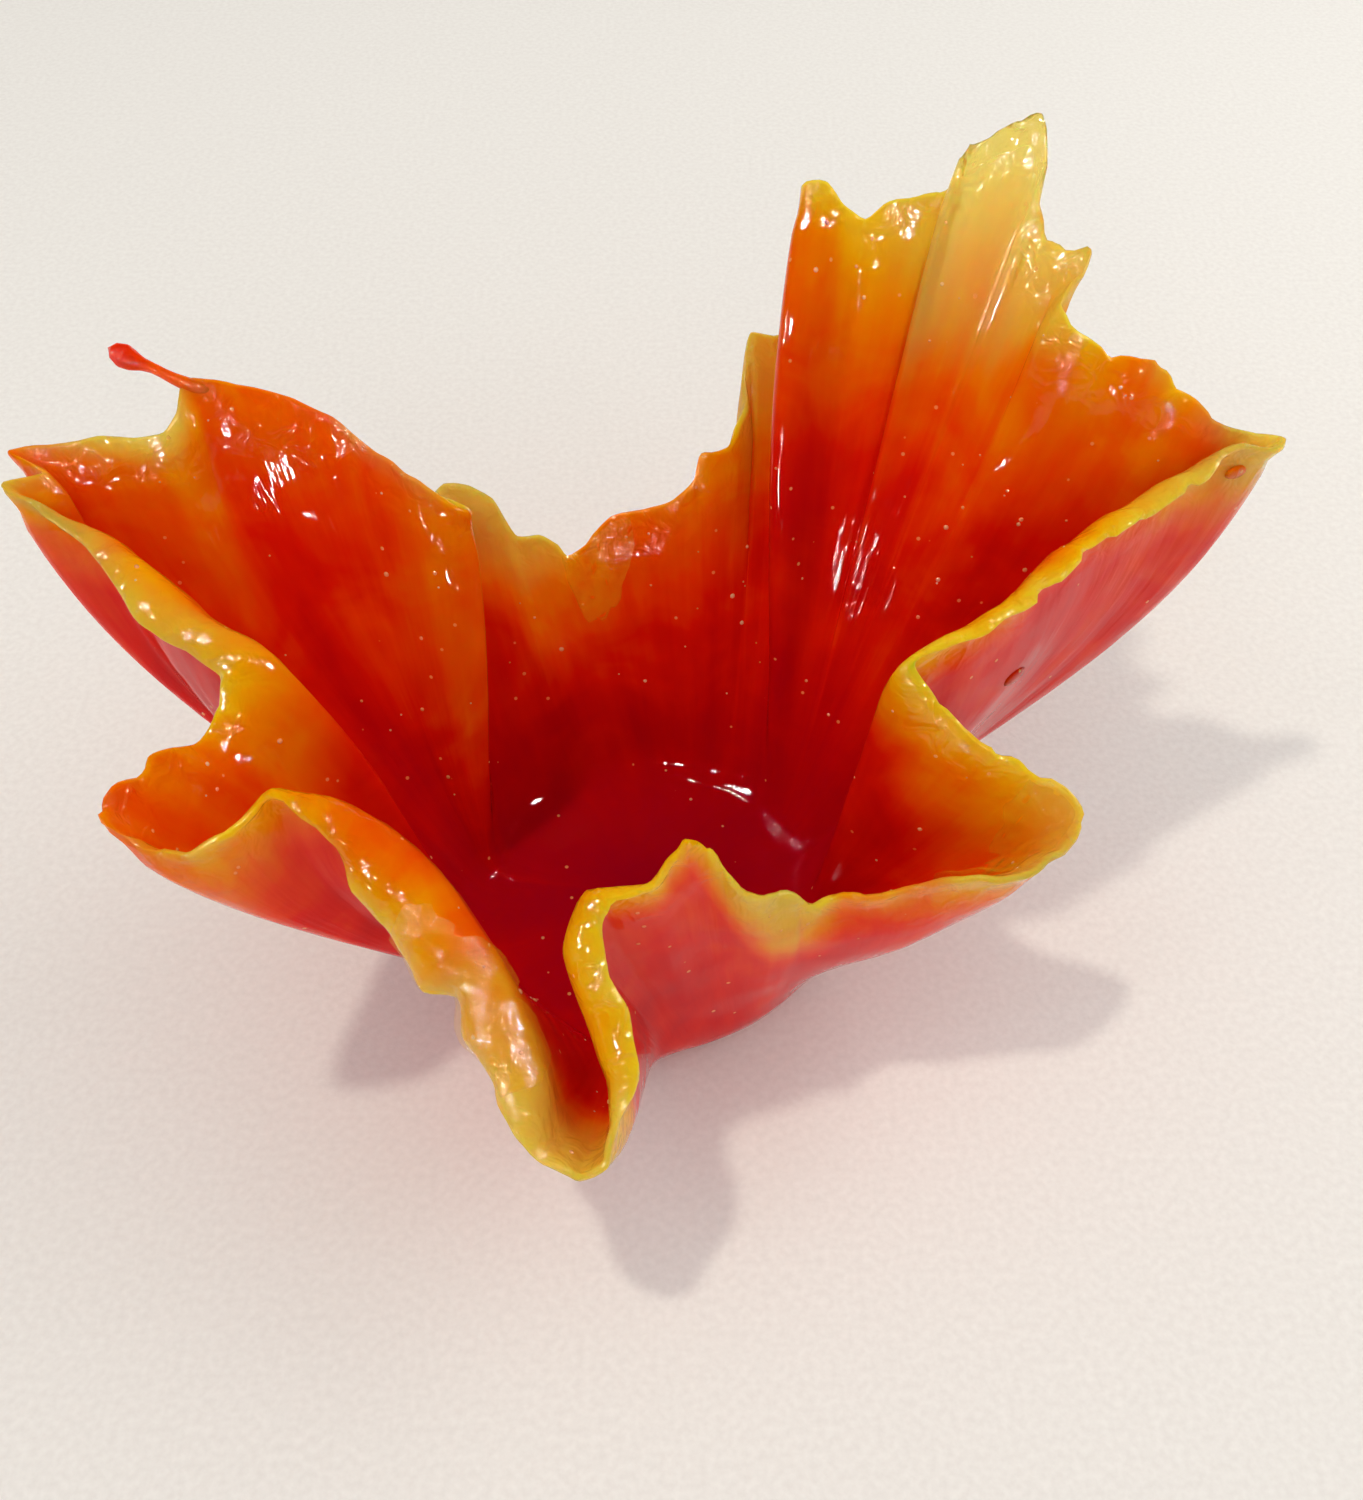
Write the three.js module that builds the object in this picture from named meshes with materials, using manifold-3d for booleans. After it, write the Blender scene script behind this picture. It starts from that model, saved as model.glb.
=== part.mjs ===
// Draped art bowl: one round sheet, thin as a plate, that was laid over a round former and
// let its edge fall into deep pleats, so it stands as a small flat foot with tall flaring petals.
// Millimetres, +Z up, origin at the centre of the foot's underside, +Y to the tallest petal's side.
import * as THREE from "three";
import { mergeVertices } from "three/addons/utils/BufferGeometryUtils.js";
import Module from "manifold-3d";

// ---------- driving sizes ----------
const sheetThickness = 3.0;
const footRadius = 29; // outside of the round foot the sheet was draped over
const overallSpan = 180; // tip of the left petal to tip of the right petal
const overallHeight = 105; // foot to the top of the thin tongue
const pleatRounding = 5; // how far round a pleat its fold is rounded off
const pleatSoftness = 8; // how far round a pleat the sheet's thickness is evened out
const footFillet = 6; // how softly the wall leaves the floor
const filmThickness = 0.8; // the thin clear flaps of overflow
const filmGap = 0.35; // clear space between a flap and the sheet it lies on

// The petal points below are laid out for a bowl of this size, and are stretched to the sizes above.
const drawnSpan = 180;
const drawnHeight = 105;
const wideBy = overallSpan / drawnSpan;
const tallBy = overallHeight / drawnHeight;

// ---------- resolution ----------
const columnSpacing = 4.0; // along the rim
const wallRows = 6;
const filletRows = 3;
const lipRows = 4;

// ---------- petals ----------
// Going round the bowl from the right-hand valley. Each point of the crest says where the top of
// the wall is, at which bearing on the foot that strip of wall starts (foot), and where the sheet's
// edge lies from there (lip); without a lip the edge just carries on the wall's own way. A belly
// is how far the wall stands out of its straight line, and a negative one hugs the former.
const straightLip = 0.8;
const edgeShare = 0.6; // thickness left at the very edge
const lipStart = 3; // how far below the crest the wall begins to turn over

const rightBackPetal = [
  { at: [34, -1.5, 62.5], foot: -3, lip: [2, 0.2, -0.2] },
  { at: [43, 3.5, 65], foot: 1, lip: [1.5, -2, 0], belly: 3 },
  { at: [52, 10, 66.5], foot: 4, lip: [1.5, -3, 0], belly: 5 },
  { at: [63, 20, 68.5], foot: 8, lip: [1.5, -3, 0], belly: 7 },
  { at: [76, 28, 69.5], foot: 12, lip: [1.5, -2.5, 0], belly: 9 },
  { at: [91.5, 35, 69.5], foot: 16, belly: 10 },
  { at: [79, 35, 72.5], foot: 19, belly: 7 },
  { at: [68, 38, 78.5], foot: 22, belly: 5 },
  { at: [58, 41, 84], foot: 25, belly: 3 },
];

const tongue = [
  { at: [54, 51, 90.5], foot: 27.5, belly: 2 },
  { at: [55, 59, 97.5], foot: 29 },
  { at: [52.5, 61.5, 103.5], foot: 30 },
  { at: [45.5, 58.5, 98], foot: 31 },
  { at: [43, 57.5, 91.5], foot: 32.5, belly: 1 },
];

const tallCorner = [
  { at: [33, 59, 88.5], foot: 35, belly: -2 },
  { at: [23, 60.5, 93.5], foot: 39, belly: -7 },
  { at: [29, 68, 76], foot: 46, belly: -3 },
];

const backValley = [
  { at: [17, 59, 66.5], foot: 54 },
  { at: [14, 51, 60.5], foot: 60 },
  { at: [9, 45, 55], foot: 67 },
  { at: [2.5, 41.5, 48], foot: 76 },
  { at: [-7, 40.5, 46], foot: 88 },
  { at: [-13, 38.5, 40.5], foot: 98 },
  { at: [-17, 40, 43], foot: 107 },
  { at: [-22, 41.5, 45.5], foot: 116 },
];

const backLeftPocket = [
  { at: [-26.5, 44, 51], foot: 130, belly: 2 },
  { at: [-32.5, 44, 51.5], foot: 143, belly: 2 },
  { at: [-32, 37, 56], foot: 158 },
];

const leftPetal = [
  { at: [-26, 30, 60], foot: 170, belly: -2 },
  { at: [-32, 30, 62.5], foot: 171.5 },
  { at: [-45, 37.5, 69.5], foot: 173, belly: 1 },
  { at: [-55, 38.5, 74], foot: 174.5, belly: 3 },
  { at: [-64, 37, 76], foot: 176, belly: 5 },
  { at: [-65.5, 32.5, 72.5], foot: 178, belly: 7 },
  { at: [-74, 30.5, 72.5], foot: 180, belly: 8 },
  { at: [-86, 28, 73], foot: 183, belly: 6 },
  { at: [-85.5, 21.5, 72], foot: 187, belly: 7 },
  { at: [-75, 20, 67], foot: 190, lip: [-2, -2, 1], belly: 8 },
  { at: [-67.5, 14, 65], foot: 193, lip: [-3, -3, -1], belly: 8 },
  { at: [-60, 8, 62], foot: 196, lip: [-4, -3, -1.5], belly: 6 },
];

const frontLeftPetal = [
  { at: [-50.5, 3, 59], foot: 199, lip: [-5, -2, -2], belly: -2 },
  { at: [-54, -6, 55.5], foot: 202, lip: [-2.5, 0, 1] },
  { at: [-60.5, -17, 59.5], foot: 206, belly: 1 },
  { at: [-63, -28, 63], foot: 209, belly: 2 },
  { at: [-55, -28.5, 57.5], foot: 212, belly: 2 },
  { at: [-51, -25.5, 59], foot: 215, lip: [0.6, -1.2, 0.5], belly: 4 },
];

const turnedOutLip = [
  { at: [-46, -21, 60.5], foot: 219, lip: [1, -2.6, -0.2], belly: 4 },
  { at: [-39, -20, 58], foot: 223, lip: [0.3, -4.5, -2.5], belly: 4 },
  { at: [-31, -23, 54], foot: 228, lip: [-2.5, -5.5, -4.5], belly: 5 },
  { at: [-25, -28, 51], foot: 234, lip: [-5, -5, -6], belly: 4 },
  { at: [-20, -34, 48], foot: 240, lip: [-5, -3, -6], belly: 2 },
  { at: [-16, -41, 45], foot: 247, lip: [-5, -2, -5] },
];

const frontSpout = [
  { at: [-13, -49.5, 42], foot: 254, lip: [-4.5, -1.5, -2] },
  { at: [-12.5, -56, 38.5], foot: 259, lip: [-2, -1, -0.5] },
  { at: [-7, -60.5, 35], foot: 264 },
  { at: [-2, -56, 36.5], foot: 269 },
  { at: [-3.5, -49, 41], foot: 272, lip: [2.5, -1, 0] },
  { at: [-6.5, -42, 46.5], foot: 275, lip: [3.5, -1, -1] },
  { at: [-8.5, -36, 51], foot: 279, lip: [4.5, -1.5, -1.5] },
];

const frontRightWall = [
  { at: [-4.5, -31.5, 55], foot: 284, lip: [2.5, -3, -1.5] },
  { at: [1.5, -29.8, 57], foot: 289, lip: [0.3, -0.8, 0.8] },
  { at: [6, -29, 59.5], foot: 294, lip: [0.4, -1.4, 0.2] },
  { at: [10.5, -28.5, 54], foot: 300 },
  { at: [17, -28, 47], foot: 308, belly: 1 },
  { at: [21.5, -26, 41.5], foot: 315, belly: 1 },
];

const rightFrontPetal = [
  { at: [27, -24.5, 42.5], foot: 322, belly: 3 },
  { at: [39, -24, 45], foot: 331, belly: 4 },
  { at: [53.5, -20, 43.5], foot: 338, belly: 2 },
  { at: [59, -14, 44.5], foot: 343, belly: 1 },
  { at: [52.5, -10, 49], foot: 347 },
  { at: [45, -8.5, 53], foot: 352, lip: [0.4, 0.8, 0.6] },
];

const rimOrder = [
  ...rightBackPetal,
  ...tongue,
  ...tallCorner,
  ...backValley,
  ...backLeftPocket,
  ...leftPetal,
  ...frontLeftPetal,
  ...turnedOutLip,
  ...frontSpout,
  ...frontRightWall,
  ...rightFrontPetal,
];

// The drip on the left petal's back edge, from inside the sheet to its beaded end.
const drip = {
  along: [[-63, 35, 73], [-66.5, 39, 77], [-70.5, 41.5, 77.5], [-73.5, 42, 79]],
  radii: [1.2, 1.4, 1.2, 1.2, 1.3, 1.9, 1.5],
  beadCap: 0.8,
  sides: 10,
};

// Flaps of clear overflow that lap over the sheet: the bearings on the foot they run between and
// the rows of the strips they lie across (the last rows are the lip).
const films = [
  { name: "spout_lip_film", from: 236, to: 255, low: 9.1, high: 12.7 },
  { name: "right_petal_film", from: 330, to: 345, low: 8.1, high: 12.7 },
  { name: "back_rim_film", from: 82, to: 99, low: 8.1, high: 12.7 },
];

// ---------- small helpers ----------
const radians = THREE.MathUtils.degToRad;
const stretched = (p) => new THREE.Vector3(p[0] * wideBy, p[1] * wideBy, p[2] * tallBy);

function footPoint(bearing, radius, height) {
  return new THREE.Vector3(radius * Math.cos(bearing), radius * Math.sin(bearing), height);
}

// ---------- the sheet's middle surface ----------
// The points of the rim, each with its crest, its edge and its bearing on the foot.
function rimStations() {
  const wallFoot = footRadius - sheetThickness / 2;
  const stations = rimOrder.map((point) => {
    const crest = stretched(point.at);
    const bearing = radians(point.foot);
    const wall = crest.clone().sub(footPoint(bearing, wallFoot, sheetThickness / 2));
    const lip = point.lip ? stretched(point.lip) : wall.setLength(straightLip);
    return { crest, edge: crest.clone().add(lip), bearing, belly: point.belly || 0 };
  });
  return stations;
}

// Strips of wall, evenly spaced along the rim, found on smooth closed curves through the stations.
function rimColumns(stations) {
  const crestCurve = new THREE.CatmullRomCurve3(stations.map((s) => s.crest), true, "centripetal");
  const edgeCurve = new THREE.CatmullRomCurve3(stations.map((s) => s.edge), true, "centripetal");
  const columns = [];
  stations.forEach((station, i) => {
    const next = stations[(i + 1) % stations.length];
    const stretch = station.edge.distanceTo(next.edge);
    const steps = Math.max(2, Math.round(stretch / columnSpacing));
    const turn = next.bearing < station.bearing ? 2 * Math.PI : 0;
    for (let k = 0; k < steps; k++) {
      const along = (i + k / steps) / stations.length;
      columns.push({
        crest: crestCurve.getPoint(along),
        edge: edgeCurve.getPoint(along),
        bearing: THREE.MathUtils.lerp(station.bearing, next.bearing + turn, k / steps),
        belly: THREE.MathUtils.lerp(station.belly, next.belly, k / steps),
      });
    }
  });
  return columns;
}

// Square to the wall's own line, outward and down.
function bellyDirection(column, wallWay) {
  const radial = new THREE.Vector3(column.crest.x, column.crest.y, 0).normalize();
  return radial.addScaledVector(wallWay, -radial.dot(wallWay)).normalize();
}

// The top of the wall, arching over far enough for the sheet's own thickness to turn with it.
function lipCurve(column, wallWay) {
  const lip = column.edge.clone().sub(column.crest);
  const sideways = lip.clone().addScaledVector(wallWay, -lip.dot(wallWay)).length();
  const arch = 0.35 * sideways;
  const begin = column.crest.clone().addScaledVector(wallWay, -lipStart);
  const rising = column.crest.clone().addScaledVector(wallWay, arch);
  const falling = column.edge.clone();
  falling.z += Math.max(0, 0.4 * arch - lip.z);
  return new THREE.CubicBezierCurve3(begin, rising, falling, column.edge);
}

// One strip from the floor, round the fillet, up the wall and over the lip.
function stripPoints(column) {
  const middle = sheetThickness / 2;
  const corner = footPoint(column.bearing, footRadius - middle, middle);
  const floorEnd = footPoint(column.bearing, footRadius - middle - footFillet, middle);
  const wallWay = column.crest.clone().sub(corner).normalize();
  const wallStart = corner.clone().addScaledVector(wallWay, footFillet);
  const wallEnd = column.crest.clone().addScaledVector(wallWay, -lipStart);
  const points = [footPoint(column.bearing, footRadius * 0.4, middle)];
  const fillet = new THREE.QuadraticBezierCurve3(floorEnd, corner, wallStart);
  points.push(...fillet.getPoints(filletRows));
  const outward = bellyDirection(column, wallWay);
  for (let k = 1; k < wallRows; k++) {
    const up = k / wallRows;
    const bulge = column.belly * 6.75 * up * up * (1 - up);
    points.push(wallStart.clone().lerp(wallEnd, up).addScaledVector(outward, bulge));
  }
  points.push(wallEnd);
  points.push(...lipCurve(column, wallWay).getPoints(lipRows).slice(1));
  return points;
}

// ---------- thickness ----------
// Directions square to the surface at each point of a closed ring of strips.
function surfaceNormals(strips) {
  const rows = strips[0].length;
  return strips.map((strip, c) => {
    const before = strips[(c + strips.length - 1) % strips.length];
    const after = strips[(c + 1) % strips.length];
    return strip.map((point, r) => {
      const around = after[r].clone().sub(before[r]);
      const up = strip[Math.min(r + 1, rows - 1)].clone().sub(strip[Math.max(r - 1, 0)]);
      return around.cross(up).normalize();
    });
  });
}

// Any quantity given on the strips, averaged over a short way round the bowl at each height.
function softened(strips, values, reach) {
  const count = strips.length;
  return strips.map((strip, c) =>
    strip.map((point, r) => {
      const sum = values[c][r].clone().multiplyScalar(reach);
      let weight = reach;
      for (const way of [1, -1]) {
        let gone = 0;
        for (let k = 1; k < count / 4; k++) {
          const here = (c + way * k + count) % count;
          const before = (c + way * (k - 1) + count) % count;
          gone += strips[here][r].distanceTo(strips[before][r]);
          if (gone > reach) break;
          sum.addScaledVector(values[here][r], reach - gone);
          weight += reach - gone;
        }
      }
      return sum.divideScalar(weight);
    }),
  );
}

function quadNormal(strips, c, r) {
  const next = strips[(c + 1) % strips.length];
  const across = next[r + 1].clone().sub(strips[c][r]);
  return across.cross(strips[c][r + 1].clone().sub(next[r])).normalize();
}

// The sheet thins over its lip, to this share of its thickness at the very edge.
function rimTaper(strip, r) {
  const fromEdge = strip.length - 1 - r;
  return THREE.MathUtils.lerp(edgeShare, 1, Math.min(1, fromEdge / lipRows));
}

// One face of the sheet, at half its thickness from the middle. Where a pleat is too tight for
// that, the sheet is drawn in a little until none of the face is turned over.
function sheetFace(strips, normals, distance) {
  const depth = strips.map((strip) => strip.map((point, r) => distance * rimTaper(strip, r)));
  let face;
  for (let pass = 0; pass < 30; pass++) {
    face = strips.map((strip, c) =>
      strip.map((point, r) => point.clone().addScaledVector(normals[c][r], depth[c][r])),
    );
    for (let c = 0; c < strips.length; c++) {
      for (let r = 0; r < strips[c].length - 1; r++) {
        if (quadNormal(face, c, r).dot(quadNormal(strips, c, r)) > 0.6) continue;
        for (const n of [c, (c + 1) % strips.length]) {
          depth[n][r] *= 0.9;
          depth[n][r + 1] *= 0.9;
        }
      }
    }
  }
  return face;
}

// ---------- building solids ----------
function solidMesh(name, triangles, colour) {
  const positions = triangles.flatMap((p) => [p.x, p.y, p.z]);
  const geometry = new THREE.BufferGeometry();
  geometry.setAttribute("position", new THREE.Float32BufferAttribute(positions, 3));
  geometry.computeVertexNormals();
  const material = new THREE.MeshStandardMaterial({ color: colour, roughness: 0.15 });
  material.name = name;
  const mesh = new THREE.Mesh(geometry, material);
  mesh.name = name;
  return mesh;
}

// Two triangles for a four-sided patch, corners in anticlockwise order from outside.
function patch(a, b, c, d) {
  return [a, b, c, a, c, d];
}

function closedSheet(outside, inside) {
  const triangles = [];
  const count = outside.length;
  const last = outside[0].length - 1;
  const bottom = new THREE.Vector3(0, 0, 0);
  const floor = new THREE.Vector3(0, 0, sheetThickness);
  for (let c = 0; c < count; c++) {
    const n = (c + 1) % count;
    triangles.push(bottom, outside[n][0], outside[c][0]);
    triangles.push(floor, inside[c][0], inside[n][0]);
    for (let r = 0; r < last; r++) {
      triangles.push(...patch(outside[c][r], outside[n][r], outside[n][r + 1], outside[c][r + 1]));
      triangles.push(...patch(inside[n][r], inside[c][r], inside[c][r + 1], inside[n][r + 1]));
    }
    triangles.push(...patch(outside[c][last], outside[n][last], inside[n][last], inside[c][last]));
  }
  return triangles;
}

// The thin drip left standing on the left petal's back edge, round in section, with a beaded end.
function dripTriangles() {
  const way = new THREE.CatmullRomCurve3(drip.along.map(stretched));
  const rings = drip.radii.map((radius, i) => {
    const share = i / (drip.radii.length - 1);
    const centre = way.getPoint(share);
    const turn = new THREE.Quaternion().setFromUnitVectors(
      new THREE.Vector3(0, 0, 1),
      way.getTangent(share),
    );
    return Array.from({ length: drip.sides }, (_, k) => {
      const angle = (2 * Math.PI * k) / drip.sides;
      const spoke = new THREE.Vector3(Math.cos(angle), Math.sin(angle), 0);
      return spoke.multiplyScalar(radius).applyQuaternion(turn).add(centre);
    });
  });
  const triangles = [];
  const first = way.getPoint(0);
  const last = way.getPoint(1).addScaledVector(way.getTangent(1), drip.beadCap);
  for (let k = 0; k < drip.sides; k++) {
    const n = (k + 1) % drip.sides;
    triangles.push(first, rings[0][n], rings[0][k]);
    for (let i = 0; i + 1 < rings.length; i++) {
      triangles.push(...patch(rings[i][k], rings[i][n], rings[i + 1][n], rings[i + 1][k]));
    }
    triangles.push(last, rings[rings.length - 1][k], rings[rings.length - 1][n]);
  }
  return triangles;
}

// A point part of the way between two rows of a strip.
function alongStrip(strip, row) {
  const below = Math.min(Math.floor(row), strip.length - 2);
  return strip[below].clone().lerp(strip[below + 1], row - below);
}

// The rows a flap crosses: its own two edges and every row of the sheet between them.
function filmRows(low, high) {
  const between = [];
  for (let row = Math.ceil(low); row <= Math.floor(high); row++) between.push(row);
  return [low, ...between, high];
}

// A flap of clear overflow lying on the inside face between two bearings and two rows of the
// strips, a little narrower at both ends.
function filmTriangles(film, bearings, face, faceNormals) {
  const chosen = bearings
    .map((bearing, c) => ({ bearing, c }))
    .filter(({ bearing }) => bearing >= radians(film.from) && bearing <= radians(film.to));
  const layer = (lift) =>
    chosen.map(({ c }, i) => {
      const across = i / (chosen.length - 1);
      const narrow = 0.7 * (2 * across - 1) ** 4;
      return filmRows(film.low + narrow, film.high - 0.5 * narrow).map((row) => {
        const away = alongStrip(faceNormals[c], row).normalize();
        return alongStrip(face[c], row).addScaledVector(away, -lift);
      });
    });
  return closedPatch(layer(filmGap), layer(filmGap + filmThickness));
}

// A thin slab between two grids of points; the second grid is the side that faces the bowl's inside.
function closedPatch(under, over) {
  const triangles = [];
  const lastColumn = under.length - 1;
  const lastRow = under[0].length - 1;
  for (let c = 0; c < lastColumn; c++) {
    for (let r = 0; r < lastRow; r++) {
      triangles.push(...patch(under[c + 1][r], under[c + 1][r + 1], under[c][r + 1], under[c][r]));
      triangles.push(...patch(over[c + 1][r], over[c][r], over[c][r + 1], over[c + 1][r + 1]));
    }
    triangles.push(...patch(over[c][0], over[c + 1][0], under[c + 1][0], under[c][0]));
    const a = lastRow;
    triangles.push(...patch(under[c][a], under[c + 1][a], over[c + 1][a], over[c][a]));
  }
  for (let r = 0; r < lastRow; r++) {
    triangles.push(...patch(under[0][r], under[0][r + 1], over[0][r + 1], over[0][r]));
    const z = lastColumn;
    triangles.push(...patch(over[z][r], over[z][r + 1], under[z][r + 1], under[z][r]));
  }
  return triangles;
}

// ---------- joining ----------
const wasm = await Module();
wasm.setup();

function manifoldOf(triangles) {
  const positions = new THREE.Float32BufferAttribute(triangles.flatMap((p) => [p.x, p.y, p.z]), 3);
  const loose = new THREE.BufferGeometry().setAttribute("position", positions);
  const merged = mergeVertices(loose, 1e-3);
  return new wasm.Manifold(
    new wasm.Mesh({
      numProp: 3,
      vertProperties: merged.attributes.position.array,
      triVerts: new Uint32Array(merged.index.array),
    }),
  );
}

function trianglesOf(solid) {
  const mesh = solid.getMesh();
  const stride = mesh.numProp;
  return Array.from(mesh.triVerts, (v) =>
    new THREE.Vector3().fromArray(mesh.vertProperties, v * stride),
  );
}

// ---------- assembly ----------
const columns = rimColumns(rimStations());
const bearings = columns.map((column) => column.bearing);
const drawn = columns.map(stripPoints);
const strips = softened(drawn, drawn, pleatRounding);
const normals = softened(strips, surfaceNormals(strips), pleatSoftness);
const outside = sheetFace(strips, normals, sheetThickness / 2);
const inside = sheetFace(strips, normals, -sheetThickness / 2);
const sheet = manifoldOf(closedSheet(outside, inside)).add(manifoldOf(dripTriangles()));

const bowl = new THREE.Group();
bowl.name = "art_glass_bowl";
bowl.add(solidMesh("draped_sheet", trianglesOf(sheet), 0xe8420a));
const insideNormals = surfaceNormals(inside);
for (const film of films) {
  bowl.add(solidMesh(film.name, filmTriangles(film, bearings, inside, insideNormals), 0xf6d98a));
}

export default bowl;
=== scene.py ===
"""Looks of the draped art bowl: the finely modelled sheet, its clear films, bubbles and materials."""

import math
from types import SimpleNamespace

import bpy
import numpy as np
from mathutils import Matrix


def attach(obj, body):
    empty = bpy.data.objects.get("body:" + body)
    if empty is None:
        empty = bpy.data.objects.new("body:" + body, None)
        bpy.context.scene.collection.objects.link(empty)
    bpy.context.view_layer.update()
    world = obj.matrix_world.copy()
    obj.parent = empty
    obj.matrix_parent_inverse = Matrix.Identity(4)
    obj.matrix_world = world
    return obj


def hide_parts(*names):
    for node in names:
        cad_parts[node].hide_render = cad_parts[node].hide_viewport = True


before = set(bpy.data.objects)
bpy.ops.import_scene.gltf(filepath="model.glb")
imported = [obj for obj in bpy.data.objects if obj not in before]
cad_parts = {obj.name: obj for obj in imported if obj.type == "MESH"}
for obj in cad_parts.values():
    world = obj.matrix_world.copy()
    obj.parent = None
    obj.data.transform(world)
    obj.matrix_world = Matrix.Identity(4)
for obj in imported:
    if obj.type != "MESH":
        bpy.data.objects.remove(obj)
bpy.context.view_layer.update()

MM = 0.001
SHEET = 3.0  # thickness, and every size below, in millimetres
FOOT = 29.0  # outside radius of the round foot
FILLET = 6.0
EDGE_SHARE = 0.34  # thickness left at the very edge
THIN_REACH = 7.0  # the sheet thins out over this far below its edge
LIP_START = 3.0
STRAIGHT_LIP = 0.8
SLACK = 0.6  # 1 is a smoothly flowing rim, and less pulls it straighter between its kinks
BITE_DEPTH = 2.4
TOOTH_DEPTH = 1.2
CRUMPLE = 1.1
CRUMPLE_REACH = 5.0
LIP_ARCH = 0.35  # how high a lip arches for how far it leans
SMOOTH_REACH = 1.9  # how far round the bowl the drawn rows are smoothed
EDGE_SMOOTH_REACH = 0.7
NORMAL_REACH = 6.0  # and the way the sheet faces

COLUMN = 0.9  # spacing of the strips along the rim
FLOOR_ROWS = 5
FLOOR_START = 0.12  # shares of the foot's radius where the floor's rows start and end
FLOOR_END = 0.68
FILLET_ROWS = 5
WALL_ROWS = 22
ROW_CROWDING = 1.15  # 1 spaces the wall's rows evenly, and more crowds them towards the edge
EDGE_DEPTHS = (0, 0.5, 1.1, 1.8, 2.6, 3.6, 4.9, 6.5, 8.5)  # rows this far below the edge
CAP_ROWS = 3
WALL_STEPS = 24  # steps of the path that the rows are then spaced along
LIP_STEPS = 12
BELLY_SCALE = 27 / 4  # brings up * up * (1 - up) to 1 at its highest
PLEAT_ROUNDS = 60  # most times a face is drawn in where a pleat is too tight
PLEAT_SHRINK = 0.92  # how much thinner each time

FILM = 0.18
FILM_CELL = 0.55
FILM_COLUMNS = 1.6  # columns of a film to each strip of the sheet
BUBBLES = 190
BUBBLE_SIDES = 8
BUBBLE_RINGS = 3
BUBBLE_HEIGHT = 0.6  # of its radius
FLECK_SIDES = 16
FLECK_RINGS = ((0.4, 0.42), (0.8, 0.28), (1.0, -0.05))  # share of its radius, and height
FLECK_TOP = 0.45
FLECK_BOTTOM = -0.4
DRIP_SIDES = 18
DRIP_STEPS = 36
LAMP_TARGET = (0.0, 0.0, 0.03)  # metres

GOLD_TINT = 0.25  # where the gold ends, in tints from 0 at the edge to 1 at the floor
AMBER_TINT = 0.6
OUTSIDE_TINT = 0.76  # the deepest tint outside
OUTSIDE_REACH = 0.75  # the share of its full depth that the amber has there


# ---------- the rim, point by point ----------
def rim(x, y, z, foot, lip=None, belly=0.0, gold=4.0, amber=22.0, clear=0.0):
    """A point on the crest of the wall, going round the bowl. foot is the bearing in degrees where its
    strip of wall leaves the foot, lip where the edge lies from the crest, or None to carry straight on,
    belly how far the wall bows out, gold and amber how far below the edge those colours reach, and
    clear how see-through the edge is."""
    return dict(
        at=(x, y, z), foot=foot, lip=lip, belly=belly, gold=gold, amber=amber, clear=clear
    )


RIGHT_BACK_PETAL = [
    rim(34, -1.5, 62.5, -3, lip=(2, 0.2, -0.2), gold=5, amber=14),
    rim(43, 3.5, 65, 1, lip=(1.5, -2, 0), belly=3, gold=4, amber=12),
    rim(52, 10, 66.5, 4, lip=(1.5, -3, 0), belly=5, gold=4, amber=12),
    rim(63, 20, 68.5, 8, lip=(1.5, -3, 0), belly=7, gold=4, amber=13),
    rim(76, 28, 69.5, 12, lip=(1.5, -2.5, 0), belly=9, gold=6, amber=18, clear=0.25),
    rim(83.5, 31, 71, 14, lip=(1, -1, 0.4), belly=10, gold=8, amber=22, clear=0.5),
    rim(90.1, 34.8, 69.3, 16, belly=10, gold=9, amber=24, clear=0.4),
    rim(86.6, 35.6, 68.8, 17, belly=8.5, gold=6, amber=24, clear=0.5),
    rim(80.5, 35, 71.4, 18.8, belly=7, gold=2, amber=26, clear=0.3),
    rim(76.5, 36.2, 74.6, 19.8, belly=6.5, gold=2, amber=28),
    rim(74, 37, 75.8, 20.5, belly=6, gold=3, amber=30),
    rim(71.2, 38.2, 79.2, 21.2, belly=5.5, gold=3, amber=33, clear=0.15),
    rim(68.6, 38.6, 79.4, 22, belly=5, gold=2, amber=34),
    rim(63.8, 39.2, 81, 23.4, belly=4.5, gold=2, amber=37),
    rim(61.2, 40.4, 83.6, 24.7, belly=3.5, gold=4, amber=40),
]

TONGUE = [
    rim(57.5, 43.3, 86.6, 26, belly=2.5, gold=8, amber=42, clear=0.2),
    rim(58.6, 46.6, 89.3, 27.2, lip=(1.7, 1.2, 2.4), belly=1.5, gold=12, amber=44, clear=0.5),
    rim(56, 49.5, 90.6, 28, belly=1, gold=16, amber=46, clear=0.6),
    rim(54.3, 53, 94, 28.8, gold=20, amber=48, clear=0.8),
    rim(55.2, 57, 98.2, 29.4, gold=26, amber=52, clear=1),
    rim(53.5, 60.6, 102.6, 30, gold=30, amber=56, clear=1),
    rim(50.4, 60.6, 101.4, 30.5, gold=28, amber=54, clear=1),
    rim(46.8, 60.2, 99.4, 31, gold=27, amber=53, clear=1),
    rim(44.4, 60, 101, 31.5, gold=28, amber=54, clear=1),
    rim(43.6, 59.6, 95.6, 32, gold=20, amber=46, clear=0.8),
    rim(42.8, 59.2, 92.8, 32.5, belly=1, gold=16, amber=42, clear=0.4),
]

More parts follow.
